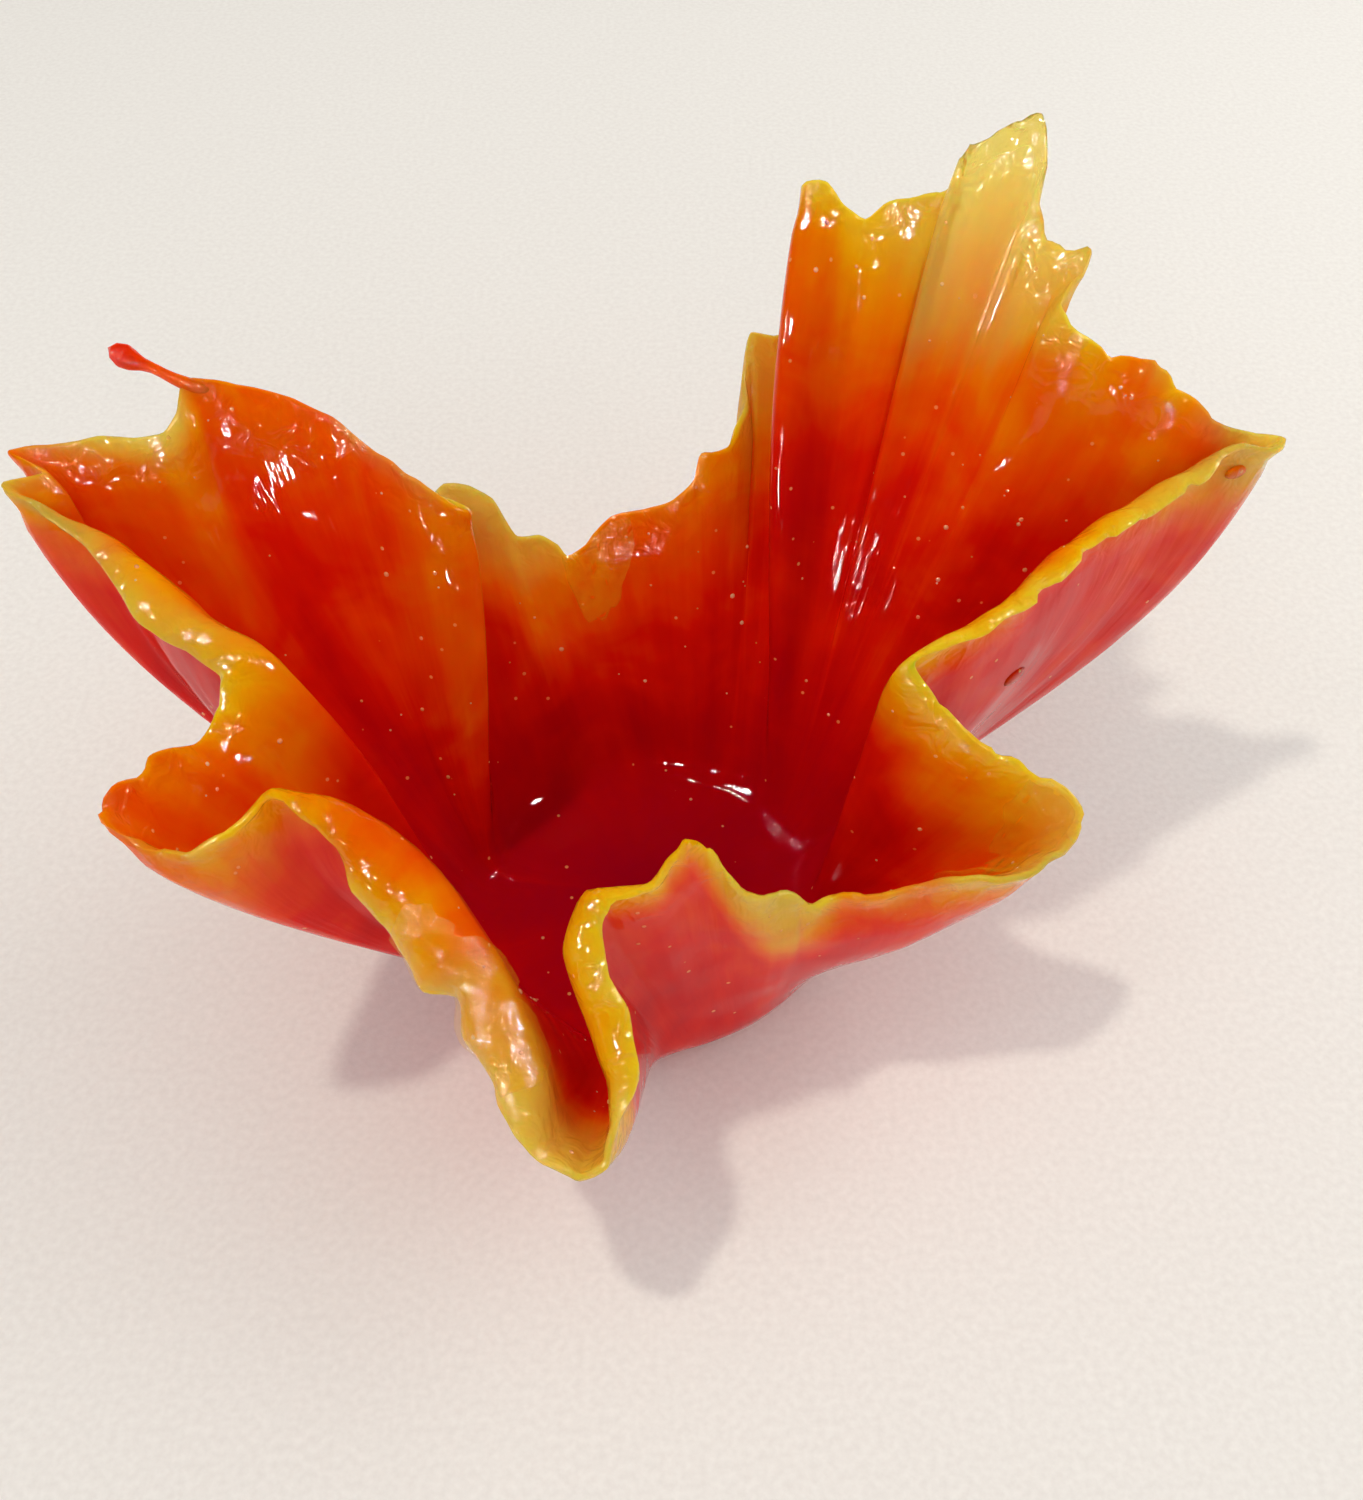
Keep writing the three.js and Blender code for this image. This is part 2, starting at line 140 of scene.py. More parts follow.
TALL_CORNER = [
    rim(41.4, 58.9, 92.2, 33, gold=13, amber=39, clear=0.25),
    rim(39.2, 58.8, 91.6, 33.7, gold=12, amber=37, clear=0.2),
    rim(36.3, 59.2, 90.8, 34.4, gold=11, amber=36, clear=0.1),
    rim(33.8, 59.6, 90, 35, belly=-1, gold=11, amber=36),
    rim(31.5, 59.6, 88, 35.8, belly=-2, gold=9, amber=34),
    rim(28.4, 59.7, 89.8, 37, belly=-4, gold=9, amber=34),
    rim(25.4, 60.2, 92.9, 38, belly=-6, gold=8, amber=34),
    rim(23, 60.5, 92.8, 39, belly=-7, gold=3, amber=34),
    rim(29, 67.8, 76, 46, belly=-3, gold=10, amber=26, clear=0.2),
]

BACK_VALLEY = [
    rim(20.5, 61, 66, 52, gold=14, amber=30, clear=0.2),
    rim(16.2, 59.5, 67.6, 53.6, gold=14, amber=30, clear=0.3),
    rim(15.5, 57, 64.6, 55.4, gold=13, amber=30, clear=0.3),
    rim(15.1, 53.2, 60.2, 58.2, gold=11, amber=28, clear=0.2),
    rim(13.3, 49.7, 58, 60.8, gold=4, amber=26),
    rim(12.4, 47.6, 55.5, 63.4, gold=2, amber=25),
    rim(8.9, 45.4, 55.8, 66, gold=2, amber=24),
    rim(7.5, 43.8, 52.4, 69.4, gold=1.6, amber=24),
    rim(3.7, 42.2, 49.4, 74, gold=1.4, amber=23),
    rim(-0.9, 41.5, 48, 80, gold=1.2, amber=22),
    rim(-5.3, 41, 46.9, 85.5, gold=1.4, amber=23),
    rim(-7.9, 40.2, 44.6, 89, gold=1.6, amber=24),
    rim(-10, 39.3, 42.4, 92.5, gold=2, amber=24),
    rim(-12.4, 38.7, 40.8, 96.5, gold=3, amber=25),
    rim(-13.8, 39.4, 42.6, 101, gold=5, amber=26, clear=0.2),
    rim(-16.7, 40.4, 43.9, 107, gold=7, amber=27, clear=0.3),
    rim(-20.2, 40.7, 43.2, 112.4, gold=9, amber=28, clear=0.3),
    rim(-21.9, 41.9, 45.8, 118, gold=12, amber=30, clear=0.3),
]

BACK_LEFT_POCKET = [
    rim(-23.7, 43.2, 49, 124, belly=1, gold=13, amber=24, clear=0.4),
    rim(-27.2, 44.3, 51, 132, belly=2, gold=14, amber=24, clear=0.5),
    rim(-31.4, 44.4, 51, 141, belly=2, gold=14, amber=23, clear=0.5),
    rim(-32.7, 42.8, 51, 146, belly=1, gold=12, amber=22, clear=0.4),
    rim(-32, 37, 56, 158, gold=9, amber=22, clear=0.3),
]

LEFT_PETAL = [
    rim(-26, 30, 60, 170, belly=-2, gold=1.5, amber=46),
    rim(-28.6, 30.2, 62, 170.8, belly=-1, gold=2, amber=50),
    rim(-32, 31.2, 65.2, 171.6, gold=2, amber=52, clear=0.15),
    rim(-36.6, 33.5, 66.5, 172.3, gold=1.2, amber=52, clear=0.15),
    rim(-41.7, 36.5, 68.2, 172.8, belly=0.5, gold=1.2, amber=50, clear=0.2),
    rim(-45.1, 38, 69.9, 173.2, belly=1, gold=0.8, amber=46),
    rim(-49.8, 39, 72.3, 173.9, belly=2, gold=0.6, amber=36),
    rim(-55, 39, 74.2, 174.6, belly=3, gold=0.5, amber=34),
    rim(-59.5, 38.8, 75.6, 175.2, belly=4, gold=0.5, amber=33),
    rim(-63.4, 38, 76.4, 175.8, belly=5, gold=0.8, amber=33),
    rim(-64.1, 36.4, 74.8, 176.3, belly=6, gold=2, amber=34, clear=0.2),
    rim(-64.6, 34.7, 73.2, 177, belly=6.5, gold=3, amber=36, clear=0.4),
    rim(-66.2, 32.3, 71.8, 178, belly=7, gold=4, amber=38, clear=0.5),
    rim(-69.5, 31.3, 71.6, 179, belly=7.5, gold=4, amber=38, clear=0.5),
    rim(-74.6, 30.8, 72.6, 180.3, belly=8, gold=3.5, amber=38, clear=0.4),
    rim(-80, 29.8, 72.2, 181.6, belly=7, gold=2, amber=34, clear=0.2),
    rim(-86.3, 28, 72.6, 183, belly=6, gold=1, amber=30),
    rim(-82, 25, 70.4, 185, belly=6.5, gold=2, amber=26),
    rim(-86.2, 22.3, 71.4, 187, belly=7, gold=2.5, amber=22, clear=0.3),
    rim(-80, 21, 69, 188.6, lip=(-1, -1, 0.6), belly=7.5, gold=3, amber=18, clear=0.4),
    rim(-75, 20, 67, 190, lip=(-2, -2, 1), belly=8, gold=3, amber=17, clear=0.3),
    rim(-67.5, 14, 65, 193, lip=(-3, -3, -1), belly=8, gold=3, amber=17, clear=0.2),
    rim(-60, 8, 62, 196, lip=(-4, -3, -1.5), belly=6, gold=6, amber=18, clear=0.2),
]

FRONT_LEFT_PETAL = [
    rim(-50.5, 3, 59, 199, lip=(-5, -2, -2), belly=-2, gold=9, amber=22),
    rim(-54, -5, 55.5, 202, lip=(-2.5, 0, 1), gold=3, amber=32),
    rim(-56.5, -9.5, 56.4, 203.6, lip=(-1, 0, 0.6), gold=1.5, amber=34),
    rim(-61.5, -15.5, 61, 206, belly=1, gold=1, amber=36),
    rim(-64.8, -25, 64, 208.4, belly=2, gold=1, amber=38),
    rim(-63.2, -28.6, 62.6, 209.6, belly=2, gold=1.5, amber=36),
    rim(-55, -28, 57.5, 212, belly=2, gold=3, amber=26, clear=0.15),
    rim(-50.6, -24.6, 60.6, 215, lip=(0.6, -1.2, 0.5), belly=4, gold=4, amber=22),
]

TURNED_OUT_LIP = [
    rim(-46, -20.4, 61.6, 219, lip=(1, -2.6, -0.2), belly=4, gold=3, amber=16),
    rim(-39, -20, 58.6, 223, lip=(0.3, -4.5, -2.5), belly=4, gold=2.5, amber=15),
    rim(-34.5, -21.2, 56, 225.6, lip=(-1.8, -5, -3.6), belly=5, gold=2.5, amber=15),
    rim(-30.6, -23.4, 54, 228, lip=(-4.6, -4.6, -3.6), belly=5, gold=4, amber=17),
    rim(-28, -25.2, 52.6, 230.6, lip=(-3, -5.6, -5.6), belly=4.5, gold=7, amber=18),
    rim(-25, -28, 51, 234, lip=(-4.4, -5.6, -6.2), belly=4, gold=9, amber=18),
    rim(-20.4, -34, 48, 240, lip=(-6.2, -3.6, -6), belly=2, gold=10, amber=18),
    rim(-18.6, -36.8, 46.8, 243, lip=(-4, -1.4, -5), belly=1, gold=8, amber=17, clear=0.2),
    rim(-16, -41, 45, 247, lip=(-5.6, -2, -5.2), gold=10, amber=17, clear=0.3),
]

FRONT_SPOUT = [
    rim(-13, -49.5, 42, 254, lip=(-4.5, -1.5, -2), gold=11, amber=20, clear=0.4),
    rim(-12.2, -55, 39, 258, lip=(-2.4, -1, -0.8), gold=12, amber=20, clear=0.4),
    rim(-10.2, -58.6, 36.6, 261.5, lip=(-0.6, -0.6, 0.2), gold=13, amber=20, clear=0.35),
    rim(-6.8, -59.9, 35, 264.5, gold=13, amber=20, clear=0.3),
    rim(-3.6, -58.6, 35.4, 267, gold=12, amber=19, clear=0.2),
    rim(-2, -55.4, 37, 269.5, gold=10, amber=17, clear=0.2),
    rim(-3.2, -49, 41, 272, lip=(3.2, -1, -1), gold=5, amber=13),
    rim(-6, -42, 46.5, 275, lip=(5, -1, -2), gold=6, amber=13),
    rim(-8.6, -36.3, 51, 279, lip=(5.2, -2.2, -2), gold=7, amber=13),
]

FRONT_RIGHT_WALL = [
    rim(-6.5, -31.6, 55.6, 283.5, lip=(2.6, -3, -1), gold=5, amber=11),
    rim(1.2, -30.4, 56.4, 288, lip=(0.3, -1, 0.8), gold=4, amber=10),
    rim(3.8, -29, 59.6, 291.4, lip=(0.2, -1, 0.6), gold=2.5, amber=10),
    rim(6, -28.6, 62.4, 294, gold=2, amber=10),
    rim(8.4, -28.4, 58.6, 297, gold=3, amber=12),
    rim(11.4, -28.4, 53.6, 301, gold=7, amber=18, clear=0.2),
    rim(17, -28, 47.5, 308, belly=1, gold=12, amber=26, clear=0.3),
    rim(20.6, -27, 44.8, 312, belly=1, gold=12, amber=26, clear=0.3),
    rim(21.2, -26.6, 43.6, 313.4, belly=1, gold=8, amber=24, clear=0.2),
    rim(23, -26, 41.2, 316, belly=1, gold=5, amber=20, clear=0.2),
]

RIGHT_FRONT_PETAL = [
    rim(27, -24.5, 42.5, 322, belly=3, gold=2, amber=14),
    rim(39, -24, 45, 331, belly=4, gold=2, amber=14, clear=0.15),
    rim(46, -22.4, 44.4, 335, belly=3, gold=4, amber=18, clear=0.3),
    rim(53.5, -20, 44, 338, belly=2, gold=5, amber=22, clear=0.4),
    rim(59.4, -14, 45, 343, belly=1, gold=8, amber=30, clear=0.3),
    rim(57, -10.8, 47.4, 345, gold=7, amber=29, clear=0.2),
    rim(52.5, -9.4, 49.6, 347, gold=6, amber=28),
    rim(45, -8.5, 53, 352, lip=(0.4, 0.8, 0.6), gold=5, amber=20),
]

RIM = (
    RIGHT_BACK_PETAL
    + TONGUE
    + TALL_CORNER
    + BACK_VALLEY
    + BACK_LEFT_POCKET
    + LEFT_PETAL
    + FRONT_LEFT_PETAL
    + TURNED_OUT_LIP
    + FRONT_SPOUT
    + FRONT_RIGHT_WALL
    + RIGHT_FRONT_PETAL
)


# ---------- small helpers ----------
def unit(v):
    return v / np.maximum(np.linalg.norm(v, axis=-1, keepdims=True), 1e-9)


def dot(a, b):
    return (a * b).sum(-1, keepdims=True)


def foot_point(bearing, radius, height):
    """Points on a circle about the foot's centre, one for each bearing in radians."""
    ring = [radius * np.cos(bearing), radius * np.sin(bearing), height + 0 * bearing]
    return np.stack(ring, axis=-1)


def knot_spacing(a, b):
    return np.maximum(np.linalg.norm(b - a, axis=1, keepdims=True) ** 0.5, 1e-4)


def closed_curve(points, station, part):
    """Centripetal Catmull-Rom curve through a closed loop of points, at part of the way past station,
    with its tangents shortened by SLACK."""
    count = len(points)
    p0, p1, p2, p3 = (points[(station + k) % count] for k in (-1, 0, 1, 2))
    d0, d1, d2 = (knot_spacing(a, b) for a, b in ((p0, p1), (p1, p2), (p2, p3)))
    leaving = ((p1 - p0) / d0 - (p2 - p0) / (d0 + d1) + (p2 - p1) / d1) * d1 * SLACK
    arriving = ((p2 - p1) / d1 - (p3 - p1) / (d1 + d2) + (p3 - p2) / d2) * d1 * SLACK
    t = part[:, None]
    cubic = 2 * p1 - 2 * p2 + leaving + arriving
    square = -3 * p1 + 3 * p2 - 2 * leaving - arriving
    return ((cubic * t + square) * t + leaving) * t + p1


def wavy(along, total, wavelength, seed):
    """Smooth random numbers from -1 to 1 along a closed loop of the given length."""
    count = max(4, round(total / wavelength))
    heights = np.random.default_rng(seed).uniform(-1, 1, count)
    place = along / total * count
    cell = np.floor(place).astype(int)
    t = place - cell
    t = t * t * (3 - 2 * t)
    return heights[cell % count] * (1 - t) + heights[(cell + 1) % count] * t


def lattice_noise(u, v, seed):
    """Smooth random numbers from -1 to 1 over a plane, one lattice cell to each unit of u and v."""
    heights = np.random.default_rng(seed).uniform(-1, 1, (64, 64))
    cu, cv = np.floor(u).astype(int), np.floor(v).astype(int)
    tu, tv = u - cu, v - cv
    tu, tv = tu * tu * (3 - 2 * tu), tv * tv * (3 - 2 * tv)

    def corner(i, j):
        return heights[(cu + i) % 64, (cv + j) % 64]

    low = corner(0, 0) * (1 - tu) + corner(1, 0) * tu
    high = corner(0, 1) * (1 - tu) + corner(1, 1) * tu
    return low * (1 - tv) + high * tv


# ---------- the sheet's middle surface ----------
def rim_columns():
    """Closely spaced strips of wall round the rim, with everything the stations say about each."""
    crest = np.array([p["at"] for p in RIM], float)
    bearing = np.radians([p["foot"] for p in RIM])
    wall = crest - foot_point(bearing, FOOT - SHEET / 2, SHEET / 2)
    lips = [p["lip"] or tuple(unit(w) * STRAIGHT_LIP) for p, w in zip(RIM, wall)]
    edge = crest + np.array(lips)
    gaps = np.linalg.norm(np.roll(edge, -1, axis=0) - edge, axis=1)
    steps = np.maximum(2, np.round(gaps / COLUMN).astype(int))
    station = np.repeat(np.arange(len(RIM)), steps)
    part = np.concatenate([np.arange(n) / n for n in steps])
    after = (station + 1) % len(RIM)
    turn = np.where(bearing[after] < bearing[station], 2 * np.pi, 0)
    columns = {
        "crest": closed_curve(crest, station, part),
        "edge": closed_curve(edge, station, part),
        "bearing": bearing[station] * (1 - part) + (bearing[after] + turn) * part,
    }
    for key in ("belly", "gold", "amber", "clear"):
        values = np.array([p[key] for p in RIM], float)
        columns[key] = values[station] * (1 - part) + values[after] * part
    hops = np.linalg.norm(np.roll(columns["edge"], -1, axis=0) - columns["edge"], axis=1)
    columns["total"] = hops.sum()
    columns["along"] = np.concatenate([[0], np.cumsum(hops)[:-1]])
    return columns


def torn_edge(columns):
    """How much of the lip is missing at each strip: shallow bites and small teeth."""
    s, total = columns["along"], columns["total"]
    bites = np.clip(wavy(s, total, wavelength=7, seed=3), 0, 1) ** 1.5 * BITE_DEPTH
    teeth = np.clip(wavy(s, total, wavelength=2.2, seed=5), 0, 1) * TOOTH_DEPTH
    rough = np.clip(wavy(s, total, wavelength=34, seed=8) + 0.5, 0.15, 1)
    return (bites + teeth) * rough


def bezier(points, t):
    a, b, c, d = points
    return (1 - t) ** 3 * a + 3 * (1 - t) ** 2 * t * b + 3 * (1 - t) * t * t * c + t**3 * d


def lip_rows(columns, wall_way):
    """The top of the wall, arching over far enough for the sheet's own thickness to turn with it."""
    crest, edge = columns["crest"], columns["edge"]
    lip = edge - crest
    sideways = np.linalg.norm(lip - wall_way * dot(lip, wall_way), axis=1, keepdims=True)
    arch = LIP_ARCH * sideways
    falling = edge.copy()
    falling[:, 2:] += np.maximum(0, 0.4 * arch - lip[:, 2:])
    corners = (crest - wall_way * LIP_START, crest + wall_way * arch, falling, edge)
    return [bezier(corners, k / LIP_STEPS) for k in range(1, LIP_STEPS + 1)]


def wall_path(columns, wall_start, wall_way):
    """Each strip's way up the wall, bowed out by its belly, and over the lip."""
    wall_end = columns["crest"] - wall_way * LIP_START
    radial = unit(columns["crest"] * np.array([1, 1, 0]))
    outward = unit(radial - wall_way * dot(radial, wall_way))
    path = [wall_start]
    for k in range(1, WALL_STEPS + 1):
        up = k / WALL_STEPS
        bulge = columns["belly"][:, None] * BELLY_SCALE * up * up * (1 - up)
        path.append(wall_start + (wall_end - wall_start) * up + outward * bulge)
    return np.stack(path + lip_rows(columns, wall_way), axis=1)


def row_depths(columns, path):
    """How far each row of the wall lies below the end of its strip's path, the edge's row first."""
    whole = np.linalg.norm(np.diff(path, axis=1), axis=2).sum(1)
    top = torn_edge(columns)[:, None] + SHEET / 2 * EDGE_SHARE
    near = top + np.array(EDGE_DEPTHS)[None, :]
    spread = np.linspace(0, 1, WALL_ROWS + 1)[1:-1] ** ROW_CROWDING
    deep = near[:, -1:] + (whole[:, None] - near[:, -1:]) * spread[None, :]
    return np.concatenate([near, deep], axis=1)


def at_depths(path, depths):
    """Points on each strip's path at the given distances below its upper end, lowest first."""
    hops = np.linalg.norm(np.diff(path, axis=1), axis=2)
    run = np.concatenate([np.zeros((len(path), 1)), np.cumsum(hops, axis=1)], axis=1)
    result = np.empty((len(path), depths.shape[1], 3))
    for c in range(len(path)):
        wanted = run[c, -1] - depths[c, ::-1]
        for axis in range(3):
            result[c, :, axis] = np.interp(wanted, run[c], path[c, :, axis])
    return result


def strip_points(columns):
    """Rows of points from the floor, round the fillet, up the wall and over the lip."""
    bearing = columns["bearing"]
    middle = SHEET / 2
    corner = foot_point(bearing, FOOT - middle, middle)
    floor_end = foot_point(bearing, FOOT - middle - FILLET, middle)
    wall_way = unit(columns["crest"] - corner)
    wall_start = corner + wall_way * FILLET
    first, last = FOOT * FLOOR_START, FOOT * FLOOR_END
    rows = []
    for k in range(FLOOR_ROWS):
        radius = first + (last - first) * k / (FLOOR_ROWS - 1)
        rows.append(foot_point(bearing, radius, middle))
    for k in range(FILLET_ROWS + 1):
        t = k / FILLET_ROWS
        rows.append((1 - t) ** 2 * floor_end + 2 * t * (1 - t) * corner + t * t * wall_start)
    path = wall_path(columns, wall_start, wall_way)
    wall = at_depths(path, row_depths(columns, path))
    return np.concatenate([np.stack(rows, axis=1), wall], axis=1)


def softened(strips, values, reach):
    """values averaged over a short way round the bowl, row by row; reach is one number per row."""
    result = np.empty_like(values)
    for r in range(strips.shape[1]):
        ring = strips[:, r]
        hops = np.linalg.norm(np.roll(ring, -1, axis=0) - ring, axis=1)
        place = np.concatenate([[0], np.cumsum(hops)[:-1]])
        apart = np.abs(place[:, None] - place[None, :])
        apart = np.minimum(apart, hops.sum() - apart)
        share = np.maximum(0, reach[r] - apart) * ((hops + np.roll(hops, 1)) / 2 + 1e-6)
        result[:, r] = share @ values[:, r] / share.sum(1, keepdims=True)
    return result


def surface_normals(strips):
    around = np.roll(strips, -1, axis=0) - np.roll(strips, 1, axis=0)
    up = np.empty_like(strips)
    up[:, 1:-1] = strips[:, 2:] - strips[:, :-2]
    up[:, 0] = strips[:, 1] - strips[:, 0]
    up[:, -1] = strips[:, -1] - strips[:, -2]
    return unit(np.cross(around, up))


def below_edge(strips):
    """How far down its strip each point lies from the edge."""
    hops = np.linalg.norm(np.diff(strips, axis=1), axis=2)
    down = np.cumsum(hops[:, ::-1], axis=1)[:, ::-1]
    return np.concatenate([down, np.zeros((len(strips), 1))], axis=1)


def middle_surface(columns):
    """The sheet's middle with its crumpled lip, the way it faces, and half its thickness."""
    drawn = strip_points(columns)
    near_edge = np.clip(1 - np.median(below_edge(drawn), axis=0) / 8, 0, 1)
    reach = SMOOTH_REACH - (SMOOTH_REACH - EDGE_SMOOTH_REACH) * near_edge
    strips = softened(drawn, drawn, reach)
    normals = softened(strips, surface_normals(strips), np.full(len(reach), NORMAL_REACH))
    normals = unit(normals)
    below = below_edge(strips)
    half = SHEET / 2 * (1 - (1 - EDGE_SHARE) * np.clip(1 - below / THIN_REACH, 0, 1))
    s, total = columns["along"], columns["total"]
    crumple = CRUMPLE * wavy(s, total, wavelength=8, seed=21)
    crumple = crumple + 0.45 * wavy(s, total, wavelength=3.4, seed=22)
    strips = strips + normals * (crumple[:, None] * np.exp(-below / CRUMPLE_REACH))[..., None]
    return strips, normals, half


# ---------- the sheet's two faces ----------
def quad_normals(strips):
    after = np.roll(strips, -1, axis=0)
    return unit(np.cross(after[:, 1:] - strips[:, :-1], strips[:, 1:] - after[:, :-1]))


def sheet_face(strips, normals, depth):
    """One face of the sheet, depth from its middle, drawn in where a pleat is too tight for that."""
    depth = depth.copy()
    whole = quad_normals(strips)
    for _ in range(PLEAT_ROUNDS):
        face = strips + normals * depth[..., None]
        turned = (quad_normals(face) * whole).sum(-1) < 0.5
        if not turned.any():
            break
        shrink = np.ones_like(depth)
        for c in (0, 1):
            near = np.roll(turned, c, axis=0)
            shrink[:, :-1] = np.where(near, PLEAT_SHRINK, shrink[:, :-1])
            shrink[:, 1:] = np.where(near, PLEAT_SHRINK, shrink[:, 1:])
        depth *= shrink
    return face


def with_round_edge(strips, normals, half):
    """The middle surface with extra rows past its last, thinning to an edge that is round across."""
    way = unit(strips[:, -1] - strips[:, -2])
    way = unit(way - normals[:, -1] * dot(way, normals[:, -1]))
    rows, halves = [], []
    for k in range(1, CAP_ROWS + 1):
        turn = math.pi / 2 * k / (CAP_ROWS + 0.5)
        rows.append(strips[:, -1] + way * half[:, -1:] * math.sin(turn))
        halves.append(half[:, -1] * math.cos(turn))
    strips = np.concatenate([strips, np.stack(rows, axis=1)], axis=1)
    normals = np.concatenate([normals, np.repeat(normals[:, -1:], CAP_ROWS, axis=1)], axis=1)
    return strips, normals, np.concatenate([half, np.stack(halves, axis=1)], axis=1)


# ---------- meshes ----------
def new_object(name, vertices, faces):
    mesh = bpy.data.meshes.new(name)
    mesh.from_pydata([tuple(v) for v in np.asarray(vertices) * MM], [], faces)
    mesh.polygons.foreach_set("use_smooth", [True] * len(mesh.polygons))
    mesh.update()
    piece = bpy.data.objects.new(name, mesh)
    bpy.context.scene.collection.objects.link(piece)
    return piece


def give(piece, name, values):
    """Stores one number, or one vector, on each of the piece's points for its material to read."""
    values = np.asarray(values, np.float32)
    kind = "FLOAT" if values.ndim == 1 else "FLOAT_VECTOR"
    layer = piece.data.attributes.new(name, kind, "POINT")
    layer.data.foreach_set("value" if values.ndim == 1 else "vector", values.ravel())


def ring_faces(first, count, rows, flip):
    """Quads of a closed ring of strips whose points are numbered from first."""
    c, r = np.meshgrid(np.arange(count), np.arange(rows - 1), indexing="ij")
    here = first + c * rows + r
    there = first + (c + 1) % count * rows + r
    quads = np.stack([here, there, there + 1, here + 1], axis=-1).reshape(-1, 4)
    return (quads[:, ::-1] if flip else quads).tolist()


def sheet_faces(count, rows):
    """Both faces of the sheet, the edge that joins them, and the fan that closes each one's floor."""
    under = count * rows
    faces = ring_faces(0, count, rows, False) + ring_faces(under, count, rows, True)
    top = np.arange(count) * rows + rows - 1
    after = np.roll(top, -1)
    faces += np.stack([top, after, after + under, top + under], axis=-1).tolist()
    middle = 2 * under
    start = np.arange(count) * rows
    following = np.roll(start, -1)
    faces += [(middle, int(b), int(a)) for a, b in zip(start, following)]
    faces += [(middle + 1, int(a) + under, int(b) + under) for a, b in zip(start, following)]
    return faces


def make_sheet(material):
    columns = rim_columns()
    strips, normals, half = with_round_edge(*middle_surface(columns))
    outside = sheet_face(strips, normals, half)
    inside = sheet_face(strips, normals, -half)
    centres = np.array([[0, 0, 0], [0, 0, SHEET]], float)
    vertices = np.concatenate([outside.reshape(-1, 3), inside.reshape(-1, 3), centres])
    sheet = new_object("draped_sheet_fine", vertices, sheet_faces(*strips.shape[:2]))
    give_colour_data(sheet, columns, below_edge(strips))
    sheet.data.materials.append(material)
    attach(sheet, "root")
    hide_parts("draped_sheet")
    return SimpleNamespace(
        bearing=np.degrees(columns["bearing"]),
        inside=SimpleNamespace(points=inside, normals=normals, below=below_edge(inside)),
        outside=SimpleNamespace(points=outside, normals=normals, below=below_edge(outside)),
    )


def sheet_tint(columns, below, reach, deepest):
    """The tint at each point, from the edge down to the floor, where it is deepest. reach is the share
    of its full depth that the amber has, and the gold shrinks half as much."""
    gold = columns["gold"][:, None] * (0.5 + 0.5 * reach)
    amber = np.maximum(columns["amber"][:, None] * reach, gold + 3)
    first = 0.45 * np.clip(1 - columns["gold"][:, None] / 4, 0, 1)
    second = np.maximum(GOLD_TINT, first + 0.04)
    in_gold = first + (second - first) * below / gold
    in_amber = second + (AMBER_TINT - second) * (below - gold) / (amber - gold)
    in_red = AMBER_TINT + (deepest - AMBER_TINT) * (below - amber) / (below[:, :1] - amber)
    return np.where(below < gold, in_gold, np.where(below < amber, in_amber, in_red))


def sheet_flow(columns, below):
    """A smooth place on the sheet, like a straight tube's, whose third number runs down the strip."""
    angle = columns["along"] / columns["total"] * 2 * np.pi
    radius = columns["total"] / (2 * np.pi)
    across = radius * np.cos(angle)[:, None] + 0 * below
    return np.stack([across, radius * np.sin(angle)[:, None] + 0 * below, below], axis=-1)


def give_colour_data(piece, columns, below):
    """What the resin needs to know at each point: outside points, inside points, then two centres."""
    outside = sheet_tint(columns, below, reach=OUTSIDE_REACH, deepest=OUTSIDE_TINT)
    inside = sheet_tint(columns, below, reach=1.0, deepest=1.0)
    give(piece, "tint", np.concatenate([outside.reshape(-1), inside.reshape(-1), [1, 1]]))
    reach = np.maximum(columns["gold"], 3)[:, None]
    clear = columns["clear"][:, None] * np.clip(1.15 - below / reach, 0, 1)
    for name, values in (("clear", clear.reshape(-1)), ("below", below.reshape(-1))):
        give(piece, name, np.concatenate([values, values, values[:1], values[:1]]))
    flow = sheet_flow(columns, below).reshape(-1, 3)
    give(piece, "flow", np.concatenate([flow, flow, flow[:2]]))


# ---------- films, drip, bubbles and flecks ----------
def on_sheet(face, column, depth):
    """Points of a face of the sheet and their normals, at fractional columns and depths below the edge."""
    points, ways = [], []
    for c, d in zip(column, depth):
        low = int(c) % len(face.points)
        high = (low + 1) % len(face.points)
        share = c - int(c)
        found = []
        for n in (low, high):
            down = face.below[n, ::-1]
            place = [np.interp(d, down, face.points[n, ::-1, k]) for k in range(3)]
            way = [np.interp(d, down, face.normals[n, ::-1, k]) for k in range(3)]
            found.append((np.array(place), np.array(way)))
        points.append(found[0][0] * (1 - share) + found[1][0] * share)
        ways.append(found[0][1] * (1 - share) + found[1][1] * share)
    return np.array(points), unit(np.array(ways))


def ragged_depth(u, v, s, seed):
    """How far down a film each of its points lies, from 0 to about 1: narrow ends and a torn hem."""
    ragged = 0.12 * lattice_noise(s / 2.5, 0 * s, seed)
    ragged = ragged + 0.08 * lattice_noise(s / 1.1, 0 * s + 7, seed)
    narrow = 0.55 * np.abs(2 * u - 1) ** 3
    return v * (1 - narrow + ragged)


def film_lift(s, depth, crinkle, seed):
    """How far each point of a film stands off the sheet."""
    folds = lattice_noise(s / 3.0, depth / 2.2, seed + 1)
    folds = folds + 0.5 * lattice_noise(s / 1.3, depth / 1.1, seed + 2)
    return 0.3 + crinkle * 0.7 * (0.5 + 0.5 * folds)


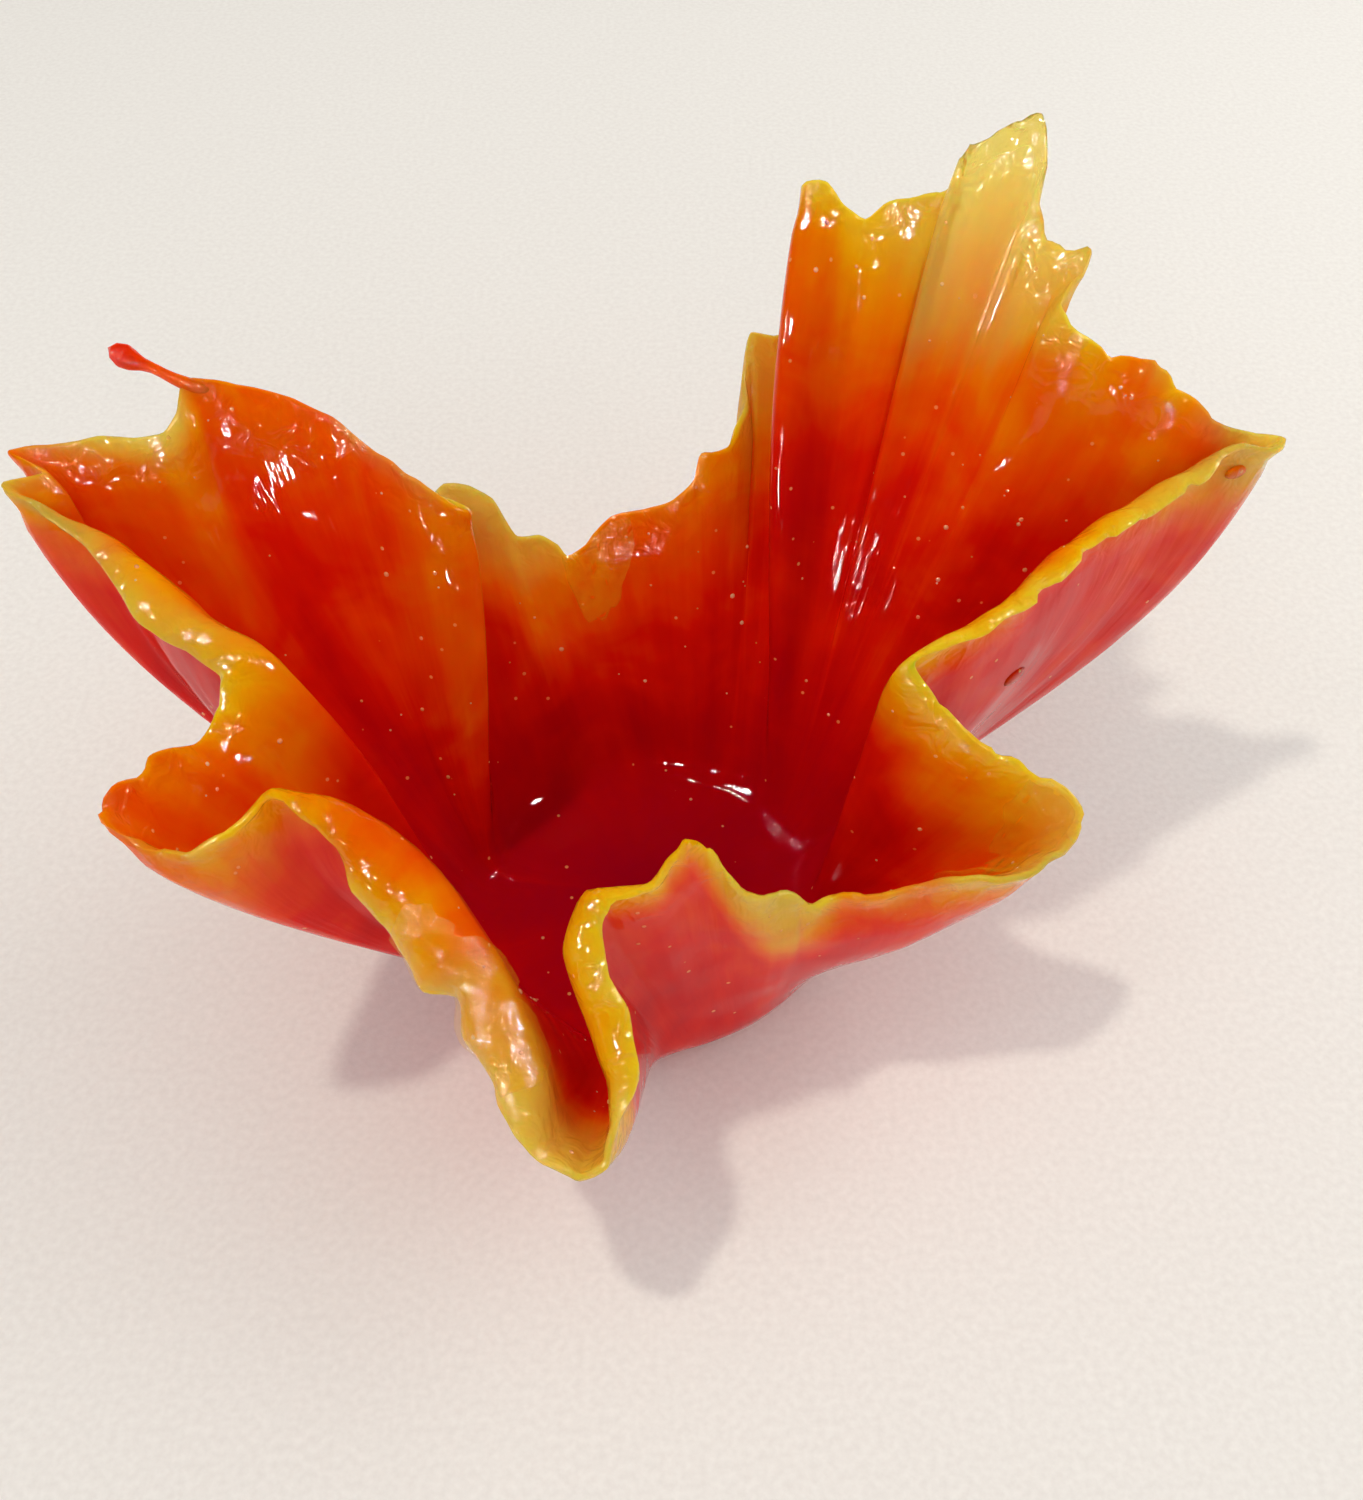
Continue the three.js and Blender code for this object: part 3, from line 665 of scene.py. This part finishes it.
def make_film(name, start, end, shallow, deep, crinkle, torn, seed):
    """A crinkled clear skin on the inside face, between two bearings on the foot and two depths below
    the edge. torn is the share of it that is holes."""
    first, last = np.interp([start, end], bowl.bearing, np.arange(len(bowl.bearing)))
    across = max(12, int((last - first) * FILM_COLUMNS))
    down = max(10, int((deep - shallow) / FILM_CELL))
    u, v = np.meshgrid(np.linspace(0, 1, across), np.linspace(0, 1, down), indexing="ij")
    s = u * (last - first) * COLUMN
    depth = shallow + (deep - shallow) * ragged_depth(u, v, s, seed)
    points, ways = on_sheet(bowl.inside, (first + u * (last - first)).ravel(), depth.ravel())
    points = points - ways * film_lift(s, depth, crinkle, seed).reshape(-1, 1)
    holes = lattice_noise(s / 2.0, depth / 2.0, seed + 3) < 2 * torn - 1
    faces = []
    for i in range(across - 1):
        for j in range(down - 1):
            if not holes[i, j]:
                a = i * down + j
                faces.append((a, a + 1, a + down + 1, a + down))
    film = new_object(name + "_skin", points, faces)
    skin = film.modifiers.new("thickness", "SOLIDIFY")
    skin.thickness = FILM * MM
    film.data.materials.append(clear)
    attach(film, "root")
    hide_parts(name)


def frame_across(way, near):
    """Two directions square to way and to each other; near is any that isn't along way."""
    side = unit(np.cross(way, np.array(near)))
    return side, np.cross(way, side)


def stacked_rings(start, rings, sides, first_cap, last_cap):
    """Faces of a tube of rings whose points are numbered from start, with a fan at either end."""
    end = start + (rings - 1) * sides
    faces = []
    for k in range(sides):
        n = (k + 1) % sides
        faces.append((first_cap, start + n, start + k))
        faces.append((last_cap, end + k, end + n))
        for ring in range(start, end, sides):
            faces.append((ring + k, ring + n, ring + sides + n, ring + sides + k))
    return faces


def smooth_along(values, t):
    """Catmull-Rom through evenly numbered values."""
    i = np.clip(t.astype(int), 0, len(values) - 2)
    w = t - i
    before, beyond = 2 * values[0] - values[1], 2 * values[-1] - values[-2]
    padded = np.concatenate([[before], values, [beyond]])
    a, b, c, d = (padded[i + k] for k in range(4))
    square = (2 * a - 5 * b + 4 * c - d) * w**2
    cube = (3 * b - a - 3 * c + d) * w**3
    return 0.5 * (2 * b + (c - a) * w + square + cube)


def tube(path, radii):
    """A round tube along a smooth path, closed at both ends, with its radius changing along it."""
    path, radii = np.array(path, float), np.array(radii, float)
    t = np.linspace(0, len(path) - 1, DRIP_STEPS)
    centre = np.stack([smooth_along(path[:, k], t) for k in range(3)], axis=1)
    width = np.interp(np.linspace(0, len(radii) - 1, DRIP_STEPS), np.arange(len(radii)), radii)
    way = unit(np.gradient(centre, axis=0))
    side, other = frame_across(way, (0.2, 1, 0.3))
    angle = np.linspace(0, 2 * np.pi, DRIP_SIDES, endpoint=False)[None, :, None]
    ring = side[:, None] * np.cos(angle) + other[:, None] * np.sin(angle)
    points = (centre[:, None] + ring * width[:, None, None]).reshape(-1, 3)
    tip = centre[-1] + way[-1] * width[-1] * 0.7
    faces = stacked_rings(0, DRIP_STEPS, DRIP_SIDES, len(points), len(points) + 1)
    return np.concatenate([points, [centre[0], tip]]), faces


def make_drip():
    """The thread of resin that ran out over the left petal's edge and ended in a bead."""
    path = [(-58.5, 38.6, 74.2), (-62.2, 38.2, 75.7), (-65, 38.7, 76.7), (-68.2, 40.2, 77.4)]
    path += [(-71.2, 41.4, 77.8), (-73.6, 42, 79)]
    radii = [0.3, 0.7, 1.0, 1.0, 0.85, 0.75, 0.75, 0.95, 1.5, 1.75, 1.2]
    points, faces = tube(path, radii)
    drip = new_object("edge_drip", points, faces)
    add_resin(drip, points, tint=np.linspace(0.4, 0.56, len(points)), depth=3)
    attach(drip, "root")


def add_resin(piece, points, tint, depth):
    """The sheet's own material on a small piece, with all that it reads from the sheet's points."""
    give(piece, "tint", tint)
    give(piece, "clear", np.zeros(len(points)))
    give(piece, "below", np.full(len(points), depth))
    give(piece, "flow", np.array(points))
    piece.data.materials.append(resin)


def squashed_ball(centre, way, size):
    """Points of a small ball flattened along way: its rings, then its top and bottom."""
    side, other = frame_across(way, (0.3, 0.2, 1.0))
    points = []
    for ring in range(1, BUBBLE_RINGS + 1):
        polar = math.pi * ring / (BUBBLE_RINGS + 1)
        for k in range(BUBBLE_SIDES):
            a = 2 * math.pi * k / BUBBLE_SIDES
            out = (side * math.cos(a) + other * math.sin(a)) * math.sin(polar)
            points.append(centre + size * (out - way * BUBBLE_HEIGHT * math.cos(polar)))
    rise = way * size * BUBBLE_HEIGHT
    return points + [centre - rise, centre + rise]


def make_bubbles():
    """Pinhead bubbles: little clear domes sunk in the inside face, as one piece."""
    rng = np.random.default_rng(11)
    column = rng.uniform(0, len(bowl.bearing) - 1, BUBBLES)
    depth = rng.uniform(3, 60, BUBBLES)
    points, ways = on_sheet(bowl.inside, column, depth)
    radius = 0.16 + 0.3 * rng.uniform(0, 1, BUBBLES) ** 3
    vertices, faces = [], []
    for centre, way, size in zip(points, ways, radius):
        start = len(vertices)
        vertices += squashed_ball(centre, way, size)
        top, bottom = len(vertices) - 2, len(vertices) - 1
        faces += stacked_rings(start, BUBBLE_RINGS, BUBBLE_SIDES, top, bottom)
    bubbles = new_object("pinhead_bubbles", vertices, faces)
    bubbles.data.materials.append(bubble_material())
    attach(bubbles, "root")


def make_fleck(name, bearing, depth, long, wide, tint):
    """A flat oval spot of another colour on the outside face."""
    column = np.interp(bearing, bowl.bearing, np.arange(len(bowl.bearing)))
    points, ways = on_sheet(bowl.outside, [column], [depth])
    centre, way = points[0], ways[0]
    side, other = frame_across(way, (0.0, 0.6, 1.0))
    vertices = [centre + way * FLECK_TOP]
    for share, height in FLECK_RINGS:
        for k in range(FLECK_SIDES):
            a = 2 * math.pi * k / FLECK_SIDES
            out = side * math.cos(a) * long / 2 + other * math.sin(a) * wide / 2
            vertices.append(centre + out * share + way * height)
    vertices.append(centre + way * FLECK_BOTTOM)
    faces = stacked_rings(1, len(FLECK_RINGS), FLECK_SIDES, 0, len(vertices) - 1)
    fleck = new_object(name, vertices, [face[::-1] for face in faces])
    add_resin(fleck, vertices, tint=np.full(len(vertices), tint), depth=depth)
    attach(fleck, "root")


# ---------- materials ----------
def paint(*colour):
    """Red, green and blue given as they look, 0 to 255, as the linear numbers a shader takes."""
    linear = [((c / 255 + 0.055) / 1.055) ** 2.4 if c > 10 else c / 255 / 12.92 for c in colour]
    return (*linear, 1.0)


class Nodes:
    """Short names for building one material's node tree."""

    def __init__(self, name):
        self.material = bpy.data.materials.new(name)
        self.material.use_nodes = True
        self.tree = self.material.node_tree
        self.shader = self.tree.nodes["Principled BSDF"]

    def link(self, source, target):
        self.tree.links.new(source, target)

    def set(self, socket, value):
        if isinstance(value, bpy.types.NodeSocket):
            self.link(value, socket)
        else:
            socket.default_value = value

    def attribute(self, name, vector=False):
        node = self.tree.nodes.new("ShaderNodeAttribute")
        node.attribute_name = name
        return node.outputs["Vector" if vector else "Fac"]

    def maths(self, operation, a, b, clamp=False):
        node = self.tree.nodes.new("ShaderNodeMath")
        node.operation = operation
        node.use_clamp = clamp
        self.set(node.inputs[0], a)
        self.set(node.inputs[1], b)
        return node.outputs[0]

    def stretch(self, vector, scale):
        node = self.tree.nodes.new("ShaderNodeVectorMath")
        node.operation = "MULTIPLY"
        self.set(node.inputs[0], vector)
        node.inputs[1].default_value = scale
        return node.outputs[0]

    def noise(self, vector, scale=1.0, detail=2.0, distortion=0.0):
        node = self.tree.nodes.new("ShaderNodeTexNoise")
        self.set(node.inputs["Vector"], vector)
        node.inputs["Scale"].default_value = scale
        node.inputs["Detail"].default_value = detail
        node.inputs["Distortion"].default_value = distortion
        return node.outputs["Fac"]

    def between(self, value, low, high, to_low=0.0, to_high=1.0):
        node = self.tree.nodes.new("ShaderNodeMapRange")
        self.set(node.inputs["Value"], value)
        node.inputs["From Min"].default_value = low
        node.inputs["From Max"].default_value = high
        node.inputs["To Min"].default_value = to_low
        node.inputs["To Max"].default_value = to_high
        return node.outputs[0]

    def ramp(self, value, stops):
        node = self.tree.nodes.new("ShaderNodeValToRGB")
        self.set(node.inputs[0], value)
        elements = node.color_ramp.elements
        for (place, colour), element in zip(stops, elements):
            element.position, element.color = place, colour
        for place, colour in stops[2:]:
            elements.new(place).color = colour
        return node.outputs[0]

    def mix(self, share, a, b):
        node = self.tree.nodes.new("ShaderNodeMix")
        node.data_type = "RGBA"
        self.set(node.inputs["Factor"], share)
        self.set(node.inputs["A"], a)
        self.set(node.inputs["B"], b)
        return node.outputs["Result"]

    def bump(self, height, distance, normal=None):
        node = self.tree.nodes.new("ShaderNodeBump")
        node.inputs["Distance"].default_value = distance * MM
        self.set(node.inputs["Height"], height)
        if normal is not None:
            self.link(normal, node.inputs["Normal"])
        return node.outputs[0]

    def place(self):
        """The point's place in millimetres."""
        node = self.tree.nodes.new("ShaderNodeTexCoord")
        return self.stretch(node.outputs["Object"], (1000, 1000, 1000))

    def specks(self, vector, spacing, radius):
        """1 inside small scattered dots and 0 outside."""
        node = self.tree.nodes.new("ShaderNodeTexVoronoi")
        self.set(node.inputs["Vector"], vector)
        node.inputs["Scale"].default_value = 1 / spacing
        return self.between(node.outputs["Distance"], radius / spacing, 0.7 * radius / spacing)


# the resin's colour for each tint
RESIN = [
    (0.0, paint(236, 190, 30)),
    (0.12, paint(234, 168, 6)),
    (0.25, paint(234, 134, 2)),
    (0.36, paint(232, 100, 2)),
    (0.5, paint(228, 62, 2)),
    (0.62, paint(216, 24, 3)),
    (0.78, paint(194, 4, 12)),
    (1.0, paint(160, 0, 27)),
]


def drifting_tint(n, tint, flow, upper):
    """The sheet's tint, shifted by streaks that ran down it and by clouds, but not on the floor."""
    wide = n.noise(n.stretch(flow, (0.12, 0.12, 0.03)), detail=3)
    fine = n.noise(n.stretch(flow, (0.8, 0.8, 0.06)), detail=2)
    cloud = n.noise(n.place(), scale=0.06, detail=3, distortion=0.8)
    streaks = n.between(wide, 0.3, 0.7, -0.055, 0.055)
    threads = n.between(fine, 0.3, 0.7, -0.01, 0.01)
    clouds = n.between(cloud, 0.3, 0.7, -0.09, 0.09)
    drift = n.maths("MULTIPLY", n.maths("ADD", n.maths("ADD", streaks, threads), clouds), upper)
    return n.maths("ADD", tint, drift, clamp=True)


def resin_relief(n, flow, upper, dots):
    """Slow waves, ripples down the sheet, dents near the edge and the rims of tiny bubbles."""
    waves = n.bump(n.noise(n.place(), scale=0.09, detail=1), 0.9)
    ripple = n.maths("MULTIPLY", n.noise(n.stretch(flow, (0.4, 0.4, 0.08)), detail=2), upper)
    near_edge = n.between(n.attribute("below"), 11, 1)
    uneven = n.noise(n.place(), scale=0.3, detail=2, distortion=0.8)
    dents = n.maths("MULTIPLY", uneven, near_edge)
    return n.bump(dots, 0.08, n.bump(dents, 0.9, n.bump(ripple, 0.14, waves)))


def resin_material():
    n = Nodes("tinted_resin")
    flow = n.attribute("flow", vector=True)
    tint = n.attribute("tint")
    upper = n.between(tint, 0.95, 0.7)
    clear = n.attribute("clear")
    dots = n.specks(n.place(), spacing=4.2, radius=0.34)
    colour = n.ramp(drifting_tint(n, tint, flow, upper), RESIN)
    colour = n.mix(clear, colour, paint(240, 218, 118))
    colour = n.mix(n.maths("MULTIPLY", dots, 0.6), colour, paint(250, 180, 110))
    n.link(colour, n.shader.inputs["Base Color"])
    smears = n.noise(n.place(), scale=0.35, detail=4)
    n.link(n.between(smears, 0.35, 0.75, 0.015, 0.06), n.shader.inputs["Roughness"])
    n.link(n.maths("MULTIPLY", clear, 0.85), n.shader.inputs["Transmission Weight"])
    n.shader.inputs["IOR"].default_value = 1.32
    n.shader.inputs["Subsurface Weight"].default_value = 0.7
    n.shader.inputs["Specular IOR Level"].default_value = 0.35
    n.shader.inputs["Subsurface Radius"].default_value = (1.0, 0.25, 0.05)
    n.shader.inputs["Subsurface Scale"].default_value = 8 * MM
    n.link(resin_relief(n, flow, upper, dots), n.shader.inputs["Normal"])
    return n.material


def clear_material():
    """A skin thin enough to see straight through, with a gloss of its own."""
    n = Nodes("clear_overflow")
    folds = n.noise(n.place(), scale=0.8, detail=3, distortion=0.6)
    colour = n.ramp(folds, [(0.3, paint(250, 170, 10)), (0.7, paint(255, 204, 40))])
    n.link(colour, n.shader.inputs["Base Color"])
    n.link(n.between(folds, 0.3, 0.7, 0.01, 0.04), n.shader.inputs["Roughness"])
    n.shader.inputs["Alpha"].default_value = 0.13
    n.shader.inputs["Specular IOR Level"].default_value = 0.6
    n.link(n.bump(folds, 0.22), n.shader.inputs["Normal"])
    return n.material


def bubble_material():
    n = Nodes("bubble_skin")
    spots = n.noise(n.place(), scale=0.15, detail=1)
    colour = n.ramp(spots, [(0.35, paint(250, 170, 90)), (0.65, paint(255, 225, 170))])
    n.link(colour, n.shader.inputs["Base Color"])
    n.shader.inputs["Roughness"].default_value = 0.06
    n.shader.inputs["Transmission Weight"].default_value = 0.4
    return n.material


def paper_material():
    n = Nodes("paper")
    grain = n.noise(n.place(), scale=0.9, detail=4)
    colour = n.ramp(grain, [(0.3, paint(233, 230, 223)), (0.7, paint(241, 239, 232))])
    n.link(colour, n.shader.inputs["Base Color"])
    n.shader.inputs["Roughness"].default_value = 0.9
    n.link(n.bump(grain, 0.05), n.shader.inputs["Normal"])
    return n.material


# ---------- stage ----------
def make_floor():
    """A sheet of paper just under the bowl, so that the two don't share a plane."""
    half, height = 1600, -0.02
    corners = [(half * x, half * y, height) for x, y in ((-1, -1), (1, -1), (1, 1), (-1, 1))]
    floor = new_object("paper_floor", corners, [(0, 1, 2, 3)])
    floor.data.materials.append(paper_material())


def lamp(name, at, size, power, colour=(1, 1, 1), lights=True, mirrored=True):
    """A soft light at a place in metres, aimed at the bowl. One that doesn't light is a card that
    only shows in the bowl's gloss, and one that isn't mirrored doesn't show there."""
    light = bpy.data.lights.new(name, "AREA")
    light.shape, light.energy, light.color = "RECTANGLE", power, colour
    light.size, light.size_y = size
    holder = bpy.data.objects.new(name, light)
    holder.location = at
    way = np.array(LAMP_TARGET) - np.array(at)
    tilt = math.atan2(math.hypot(way[0], way[1]), -way[2])
    heading = math.atan2(way[1], way[0]) - math.pi / 2
    holder.rotation_euler = (tilt, 0, heading)
    holder.visible_diffuse = lights
    holder.visible_transmission = lights
    holder.visible_glossy = mirrored
    bpy.context.scene.collection.objects.link(holder)


def make_lights():
    lamp("key", (-0.36, 0.05, 1.2), (0.07, 0.07), 3.6, (1.0, 0.95, 0.84))
    lamp("bounce", (0.5, 0.3, 0.45), (0.5, 0.5), 1.3, (1.0, 0.99, 0.96), mirrored=False)
    lamp("front_fill", (0.1, -1.2, 0.6), (0.9, 0.5), 1.9, (1.0, 0.95, 0.93), mirrored=False)
    lamp("ceiling_card", (-0.5, -0.15, 0.9), (0.05, 0.2), 12.0, lights=False)
    lamp("window_card", (-0.35, -0.9, 0.75), (0.14, 0.1), 14.0, lights=False)
    lamp("right_card", (0.7, -0.1, 0.8), (0.05, 0.16), 9.0, lights=False)
    lamp("left_card", (-0.8, -0.35, 0.45), (0.04, 0.2), 9.0, lights=False)
    lamp("low_card", (-0.16, -0.93, 0.12), (0.03, 0.12), 2.6, lights=False)
    lamp("side_card", (0.82, 0.04, 0.46), (0.07, 0.12), 9.0, lights=False)


def make_world():
    """A soft fill that lights the room without veiling the gloss."""
    world = bpy.data.worlds.new("studio")
    world.use_nodes = True
    background = world.node_tree.nodes["Background"]
    background.inputs["Color"].default_value = (0.99, 0.97, 0.99, 1)
    background.inputs["Strength"].default_value = 0.58
    world.cycles_visibility.glossy = False
    bpy.context.scene.world = world


def make_camera():
    camera = bpy.data.cameras.new("camera")
    camera.sensor_fit = "VERTICAL"
    camera.sensor_height = 36.0
    camera.sensor_width = 36.0
    camera.lens = 36.0
    camera.clip_start = 0.01
    holder = bpy.data.objects.new("camera", camera)
    holder.location = (0.0055, -0.1281, 0.2123)
    holder.rotation_euler = (math.radians(37), 0, 0)
    bpy.context.scene.collection.objects.link(holder)
    bpy.context.scene.camera = holder


# ---------- the scene ----------
make_floor()
make_lights()
make_world()
make_camera()
bpy.context.scene.view_settings.view_transform = "Standard"

resin = resin_material()
clear = clear_material()
bowl = make_sheet(resin)
make_film("spout_lip_film", 233, 255, 2.5, 14, crinkle=0.9, torn=0.02, seed=31)
make_film("right_petal_film", 332, 347, 0.4, 15, crinkle=1.3, torn=0.12, seed=47)
make_film("back_rim_film", 82, 99, 0.6, 13, crinkle=1.0, torn=0.1, seed=53)
make_drip()
make_bubbles()
make_fleck("red_fleck", 5.2, 23, long=5.4, wide=3.4, tint=0.54)
make_fleck("amber_fleck", 14.4, 4.5, long=4.2, wide=2.4, tint=0.4)
